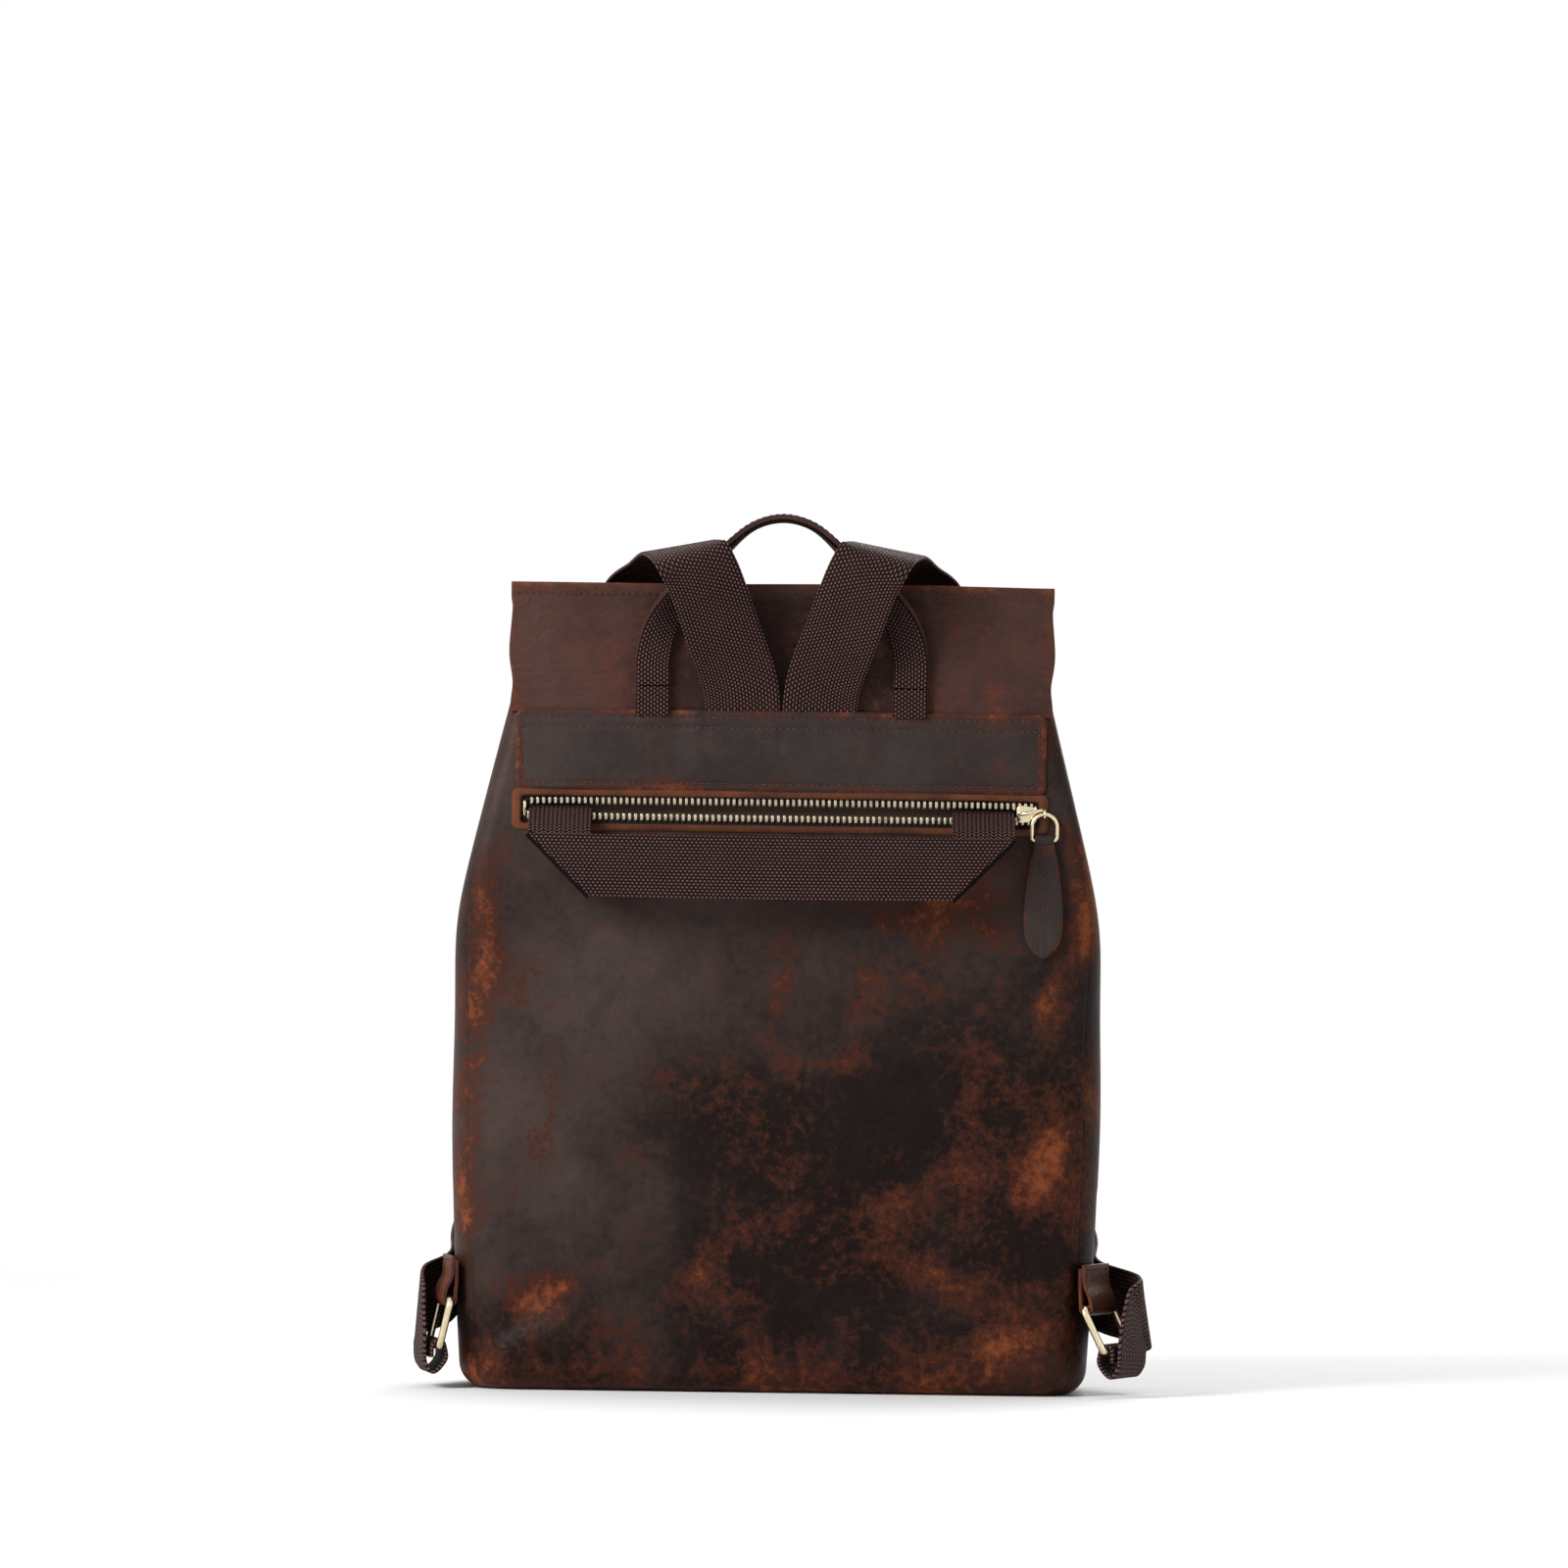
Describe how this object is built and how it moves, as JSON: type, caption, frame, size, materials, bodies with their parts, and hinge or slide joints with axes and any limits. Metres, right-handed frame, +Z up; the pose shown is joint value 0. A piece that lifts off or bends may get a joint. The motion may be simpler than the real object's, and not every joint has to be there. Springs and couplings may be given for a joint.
{
  "type": "backpack",
  "caption": "Leather backpack with a flap, a top handle, webbing shoulder straps, a zipped back pocket and a webbing strap that holds it on a trolley case.",
  "frame": {"origin": "middle of the base's underside, which the bag stands on", "axes": "+Z up, -Y towards the wearer (the side in the picture), +Y towards the front of the flap"},
  "size_m": [0.3582, 0.1635, 0.4235],
  "materials": {
    "body_leather": "waxed pull-up leather, mottled near-black brown with rubbed orange-brown patches",
    "flap_leather": "waxed leather, finely creased, reddish brown",
    "trim_leather": "waxed leather with raw orange-brown cut edges and stitching",
    "webbing": "chocolate brown woven cotton webbing",
    "zip_tape": "dark brown woven tape",
    "brass": "pale polished brass",
    "lining": "plain brown cotton",
    "board": "plain fibre board"
  },
  "bodies": {
    "bag": {"back_panel": "body_leather", "front_panel": "body_leather", "side_gusset_left": "body_leather", "side_gusset_right": "body_leather", "base_panel": "body_leather", "base_board": "board", "lining": "lining", "mouth_facing": "flap_leather", "yoke_band": "trim_leather", "zip_pocket_pouch": "lining", "zip_tape_upper": "zip_tape", "zip_tape_lower": "zip_tape", "zip_teeth_upper": "brass", "zip_teeth_lower": "brass", "zip_end_stops": "brass", "trolley_strap_ends": "webbing", "shoulder_strap_left": "webbing", "shoulder_strap_right": "webbing", "strap_anchor_left": "trim_leather", "strap_anchor_right": "trim_leather", "snap_socket": "brass", "handle_ends": "trim_leather"},
    "flap": {"flap_riser": "flap_leather", "flap_cover": "flap_leather", "closure_patch": "trim_leather", "closure_rivets": "brass"},
    "closure": {"closure_strap": "trim_leather", "snap_cap": "brass"},
    "handle": {"top_handle": "trim_leather", "handle_webbing": "webbing"},
    "trolley": {"trolley_strap": "webbing"},
    "slider": {"zip_slider": "brass"},
    "pull_ring": {"zip_pull_ring": "brass"},
    "pull_tab": {"zip_pull_tab": "trim_leather"},
    "ring_left": {"strap_ring_left": "brass"},
    "ring_right": {"strap_ring_right": "brass"}
  },
  "joints": [
    {"name": "flap_hinge", "type": "hinge", "parent": "bag", "child": "flap", "pos_m": [0, -0.059, 0.3325], "axis": [1, 0, 0], "range_deg": [0, 110], "deforming": ["shoulder_strap_left", "shoulder_strap_right", "handle_ends"]},
    {"name": "closure_lift", "type": "hinge", "parent": "flap", "child": "closure", "pos_m": [0, 0.06216, 0.2111], "axis": [1, 0, 0], "range_deg": [0, 70]},
    {"name": "handle_lean", "type": "hinge", "parent": "flap", "child": "handle", "pos_m": [0, -0.06185, 0.341], "axis": [1, 0, 0], "range_deg": [-3, 4]},
    {"name": "trolley_swing", "type": "hinge", "parent": "bag", "child": "trolley", "pos_m": [0, -0.0614, 0.281], "axis": [1, 0, 0], "range_deg": [-75, 0]},
    {"name": "zip_slide", "type": "slide", "parent": "bag", "child": "slider", "axis": [-1, 0, 0], "range_m": [0, 0.236], "deforming": ["trolley_strap", "trolley_strap_ends"]},
    {"name": "pull_ring_swing", "type": "hinge", "parent": "slider", "child": "pull_ring", "pos_m": [0.1275, -0.0631, 0.281], "axis": [1, 0, 0], "range_deg": [-60, 0]},
    {"name": "pull_tab_swing", "type": "hinge", "parent": "pull_ring", "child": "pull_tab", "pos_m": [0.1275, -0.0631, 0.2685], "axis": [1, 0, 0], "range_deg": [-60, 0]},
    {"name": "ring_left_swing", "type": "hinge", "parent": "bag", "child": "ring_left", "pos_m": [-0.15873, -0.03704, 0.043], "axis": [-0.1564, 0.9877, 0], "range_deg": [-10, 24]},
    {"name": "ring_right_swing", "type": "hinge", "parent": "bag", "child": "ring_right", "pos_m": [0.15678, -0.04406, 0.043], "axis": [0.3746, 0.9272, 0], "range_deg": [-18, 20]}
  ]
}
